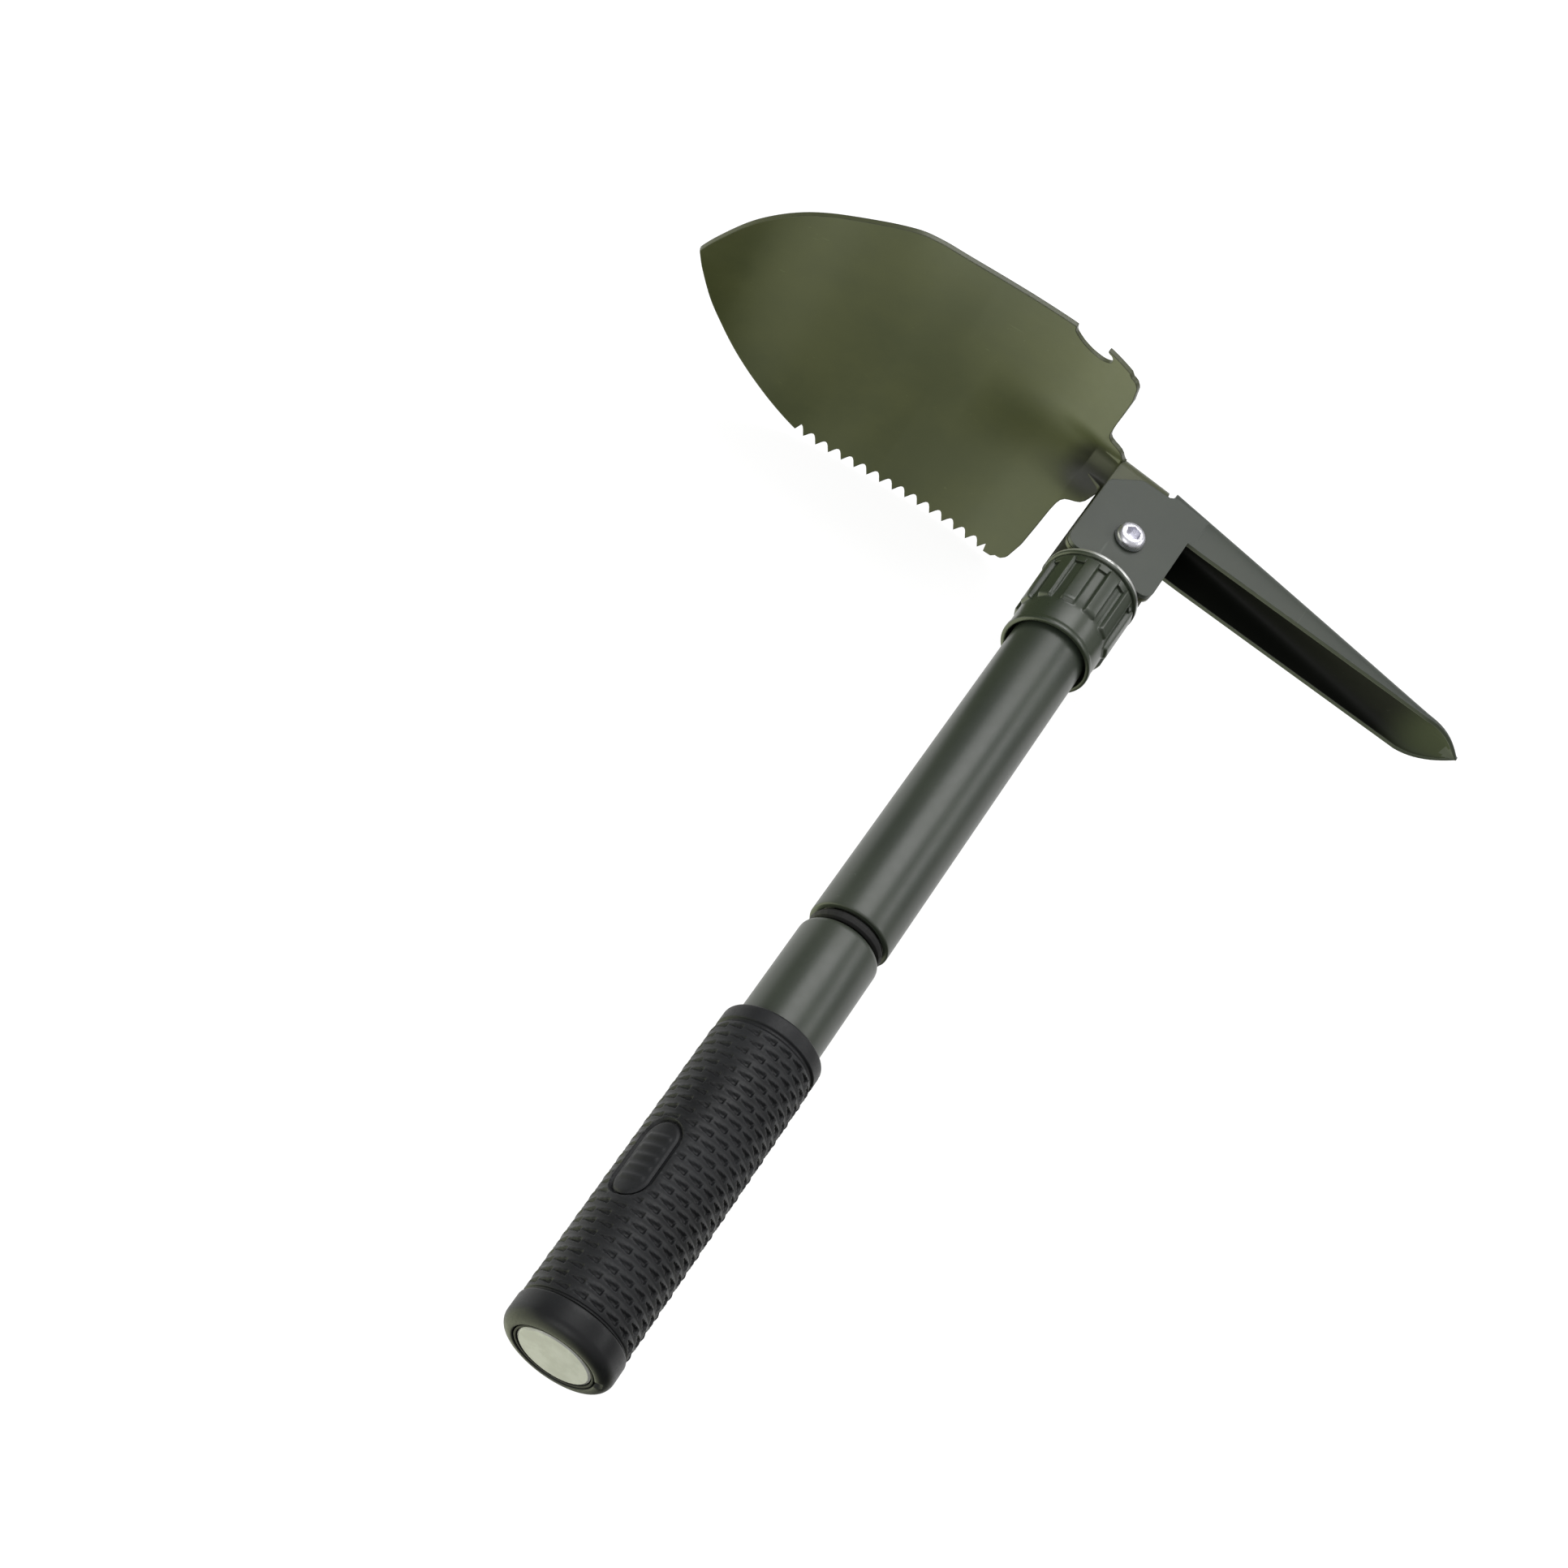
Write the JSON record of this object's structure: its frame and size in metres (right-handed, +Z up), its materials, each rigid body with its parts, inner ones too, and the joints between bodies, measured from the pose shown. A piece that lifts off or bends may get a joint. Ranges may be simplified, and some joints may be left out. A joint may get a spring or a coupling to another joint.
{
  "type": "folding camp shovel",
  "caption": "Folding camp shovel: saw-edged pointed blade and channel pick on one pivot, lock nut, two-part screwed tube handle, black grip with a compass in its end.",
  "frame": {"origin": "under the middle of the object's box at rest, at its lowest point, with the tool lying on its side and the pivot bolt upright", "axes": "+X along the handle from the grip towards the head, +Y the side that the blade stands on, +Z up along the pivot bolt towards its head"},
  "size_m": [0.315, 0.2584, 0.0943],
  "materials": {
    "blade_paint": "satin olive paint over pressed steel, worn to bare metal along the edges",
    "head_paint": "satin grey-green paint over pressed steel",
    "nut_paint": "satin dark green paint over a cast nut, bare at the rim",
    "tube_paint": "satin grey-green paint on drawn steel tube",
    "zinc": "bright zinc plate",
    "steel": "machined steel",
    "brass": "machined brass",
    "grip_black": "moulded black plastic",
    "rubber": "black rubber",
    "nylon": "natural nylon",
    "dial": "pale compass card",
    "lens": "clear window",
    "needle": "red and white needle"
  },
  "bodies": {
    "handle": {"upper_tube": "tube_paint", "head_fitting": "steel", "fitting_pin": "steel", "stop_ring": "steel", "pivot_bolt": "zinc", "pivot_bush": "brass", "pivot_washer_top": "nylon", "pivot_washer_bottom": "nylon", "bolt_washer": "zinc", "pivot_nut": "zinc", "thread_insert": "steel"},
    "pick": {"pick": "head_paint"},
    "blade": {"blade": "blade_paint"},
    "nut_carrier": {"thrust_washer": "nylon"},
    "nut": {"lock_nut": "nut_paint"},
    "joint_carrier": {"joint_o_ring": "rubber"},
    "lower_handle": {"lower_tube": "tube_paint", "tube_plug": "rubber", "grip": "grip_black", "grip_badge": "grip_black", "end_collar": "grip_black", "compass_housing": "rubber", "compass_dial": "dial", "compass_pivot": "brass", "compass_lens": "lens"},
    "needle": {"compass_needle": "needle"}
  },
  "joints": [
    {"name": "pick_fold", "type": "hinge", "parent": "handle", "child": "pick", "pos_m": [0.1285, -0.01592, 0.04715], "axis": [0, 0, 1], "range_deg": [-90, 0]},
    {"name": "blade_fold", "type": "hinge", "parent": "pick", "child": "blade", "pos_m": [0.1285, -0.01592, 0.04715], "axis": [0, 0, 1], "range_deg": [0, 83]},
    {"name": "nut_travel", "type": "slide", "parent": "handle", "child": "nut_carrier", "axis": [1, 0, 0], "range_m": [-0.00801, 0.00101]},
    {"name": "nut_turn", "type": "hinge", "parent": "nut_carrier", "child": "nut", "pos_m": [0.0985, -0.01592, 0.04715], "axis": [1, 0, 0], "range_deg": [-1440, 180]},
    {"name": "handle_travel", "type": "slide", "parent": "handle", "child": "joint_carrier", "axis": [-1, 0, 0], "range_m": [0, 0.01201]},
    {"name": "handle_turn", "type": "hinge", "parent": "joint_carrier", "child": "lower_handle", "pos_m": [-0.0285, -0.01592, 0.04715], "axis": [-1, 0, 0], "range_deg": [0, 2160]},
    {"name": "needle_swing", "type": "hinge", "parent": "lower_handle", "child": "needle", "pos_m": [-0.1554, -0.01592, 0.04715], "axis": [1, 0, 0], "continuous": true}
  ],
  "couplings": [
    {"joint": "nut_travel", "follows": "nut_turn", "m_per_rad": 0.00031831},
    {"joint": "handle_travel", "follows": "handle_turn", "m_per_rad": 0.00031831}
  ]
}
